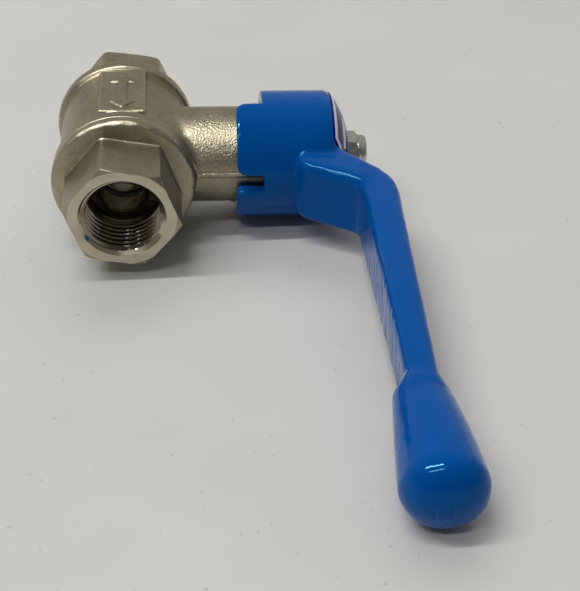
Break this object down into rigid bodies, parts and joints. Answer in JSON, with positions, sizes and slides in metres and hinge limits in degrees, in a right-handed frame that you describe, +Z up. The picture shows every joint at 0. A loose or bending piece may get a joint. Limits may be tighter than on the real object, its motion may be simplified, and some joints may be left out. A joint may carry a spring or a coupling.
{
  "type": "lever ball valve",
  "caption": "Small nickel-plated ball valve with threaded hexagonal ports, a long stem neck and a blue lever that turns a quarter turn to shut off the water.",
  "frame": {"origin": "centre of the ball, where the pipe axis crosses the stem axis", "axes": "+Y along the pipe from the end cap to the body's own port, +X along the stem towards the handle, +Z up with the valve lying on its side"},
  "size_m": [0.09, 0.1657, 0.0364],
  "materials": {
    "nickel_plate": "satin nickel plate over blasted brass, machined bright at the ports",
    "ball_chrome": "polished hard chrome",
    "ptfe": "waxy white",
    "seal_rubber": "matte black",
    "stem_brass": "turned",
    "gland_brass": "turned, dull",
    "blue_coating": "thick glossy blue coating with a slight orange-peel surface",
    "badge_print": "navy print under gloss with a white edge line",
    "zinc_plate": "bright zinc plate",
    "nylon": "blue nylon"
  },
  "bodies": {
    "housing": {"valve_body": "nickel_plate", "end_cap": "nickel_plate", "body_o_ring": "seal_rubber", "inlet_seat": "ptfe", "outlet_seat": "ptfe", "stem_thrust_washer": "ptfe", "packing_ring_lower": "ptfe", "packing_ring_middle": "ptfe", "packing_ring_upper": "ptfe", "gland_ring": "stem_brass", "gland_nut": "gland_brass"},
    "lever": {"lever_handle": "blue_coating", "stem": "stem_brass", "stem_o_ring_lower": "seal_rubber", "stem_o_ring_upper": "seal_rubber", "name_disc": "badge_print", "handle_washer": "zinc_plate", "handle_nut": "zinc_plate", "nut_insert": "nylon"},
    "ball_body": {"ball": "ball_chrome"}
  },
  "joints": [
    {"name": "lever_turn", "type": "hinge", "parent": "housing", "child": "lever", "pos_m": [0, 0, 0], "axis": [-1, 0, 0], "range_deg": [0, 90]},
    {"name": "ball_turn", "type": "hinge", "parent": "housing", "child": "ball_body", "pos_m": [0, 0, 0], "axis": [-1, 0, 0], "range_deg": [0, 90]}
  ],
  "couplings": [
    {"joint": "ball_turn", "follows": "lever_turn", "ratio": 1}
  ]
}
